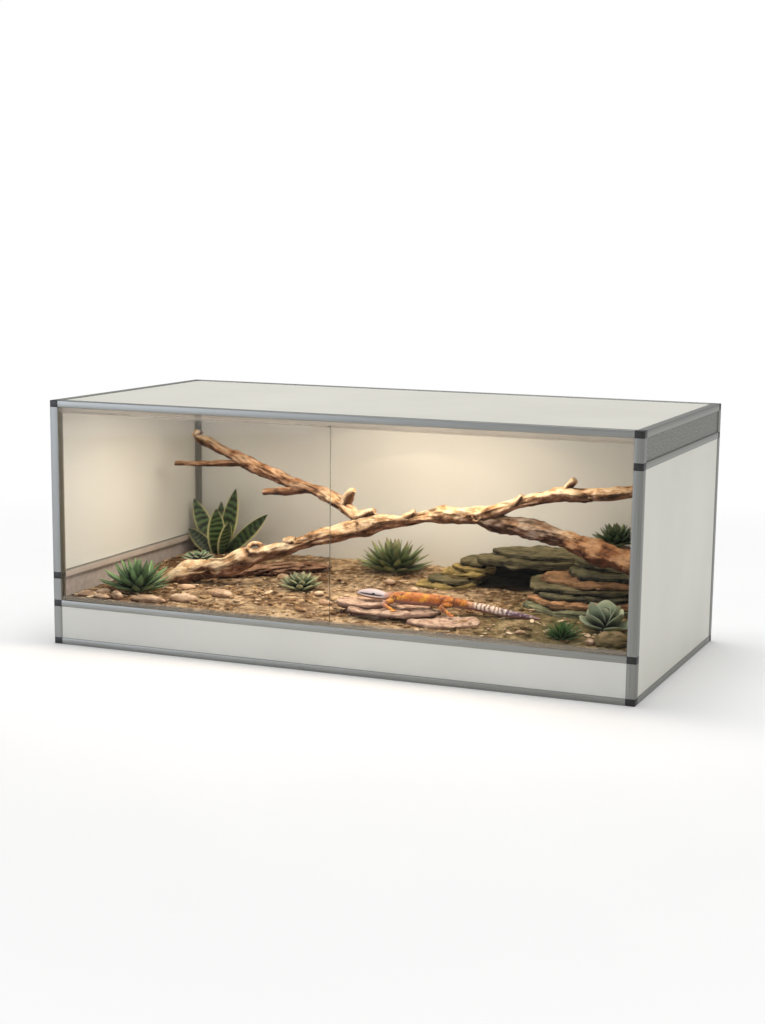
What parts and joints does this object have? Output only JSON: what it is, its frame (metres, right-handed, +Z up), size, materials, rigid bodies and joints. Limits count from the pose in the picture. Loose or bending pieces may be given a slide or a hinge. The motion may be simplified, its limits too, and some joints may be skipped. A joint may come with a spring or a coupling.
{
  "type": "reptile terrarium",
  "caption": "Desert terrarium: aluminium tube frame, white panels, sliding glass doors in clear tracks, side vents, roof lamp, and a landscape of driftwood, slate cave and succulents.",
  "frame": {"origin": "centre of the base, on the surface that the case stands on", "axes": "+X to the viewer's right along the front, +Y from the front to the back, +Z up; the glass doors face -Y"},
  "size_m": [1, 0.5, 0.408],
  "materials": {
    "aluminium_tube": "satin anodised",
    "black_nylon": "moulded, fine matt grain",
    "white_board": "satin coated board",
    "vent_sheet": "perforated sheet, matt",
    "clear_track": "clear extruded plastic",
    "door_glass": "polished float glass",
    "lamp_metal": "extruded, satin",
    "lamp_diffuser": "opal",
    "lamp_board": "white solder mask",
    "screw_steel": "zinc plated",
    "grommet_rubber": "matt",
    "soil": "loose bark chip and sand",
    "driftwood": "weathered, dry",
    "red_bark": "rough bark",
    "slate": "split slate",
    "pale_stone": "worn sandstone",
    "agave_leaf": "waxy leaf",
    "rosette_leaf": "waxy leaf",
    "blade_leaf": "leaf",
    "gecko_skin": "fine scales"
  },
  "bodies": {
    "case": {"bottom_front_rail": "aluminium_tube", "bottom_rear_rail": "aluminium_tube", "bottom_side_rails": "aluminium_tube", "sill_rail": "aluminium_tube", "left_vent_lower_rail": "aluminium_tube", "left_vent_upper_rail": "aluminium_tube", "right_vent_lower_rail": "aluminium_tube", "top_front_rail": "aluminium_tube", "top_rear_rail": "aluminium_tube", "top_side_rails": "aluminium_tube", "front_left_post": "aluminium_tube", "rear_left_post": "aluminium_tube", "front_right_post": "aluminium_tube", "rear_right_post": "aluminium_tube", "bottom_connectors": "black_nylon", "sill_connectors": "black_nylon", "left_vent_connectors": "black_nylon", "right_vent_connectors": "black_nylon", "top_connectors": "black_nylon", "lamp_end_caps": "black_nylon", "floor_panel": "white_board", "back_panel": "white_board", "roof_panel": "white_board", "right_panel": "white_board", "left_upper_panel": "white_board", "left_plinth_panel": "white_board", "front_plinth_panel": "white_board", "left_vent": "vent_sheet", "right_vent": "vent_sheet", "lower_door_track": "clear_track", "upper_door_track": "clear_track", "door_side_strips": "clear_track", "lamp_housing": "lamp_metal", "lamp_brackets": "lamp_metal", "lamp_diffuser": "lamp_diffuser", "lamp_led_board": "lamp_board", "lamp_screws": "screw_steel", "cable_grommet": "grommet_rubber", "substrate": "soil", "driftwood": "driftwood", "bark_piece": "red_bark", "wood_slab": "red_bark", "cave_left_slabs": "slate", "cave_right_stack": "slate", "cave_rear_slab": "slate", "cave_roof_slabs": "slate", "flat_stones": "pale_stone", "loose_stones": "pale_stone", "front_agave": "agave_leaf", "rear_agave": "agave_leaf", "upper_agave": "agave_leaf", "echeveria": "rosette_leaf", "variegated_rosette": "rosette_leaf", "broad_leaf_succulent": "rosette_leaf", "snake_plant": "blade_leaf", "grass_tuft": "blade_leaf", "gecko": "gecko_skin"},
    "left_door": {"left_glass_door": "door_glass"},
    "right_door": {"right_glass_door": "door_glass"}
  },
  "joints": [
    {"name": "left_door_slide", "type": "slide", "parent": "case", "child": "left_door", "axis": [1, 0, 0], "range_m": [0, 0.479]},
    {"name": "right_door_slide", "type": "slide", "parent": "case", "child": "right_door", "axis": [1, 0, 0], "range_m": [-0.479, 0]}
  ]
}
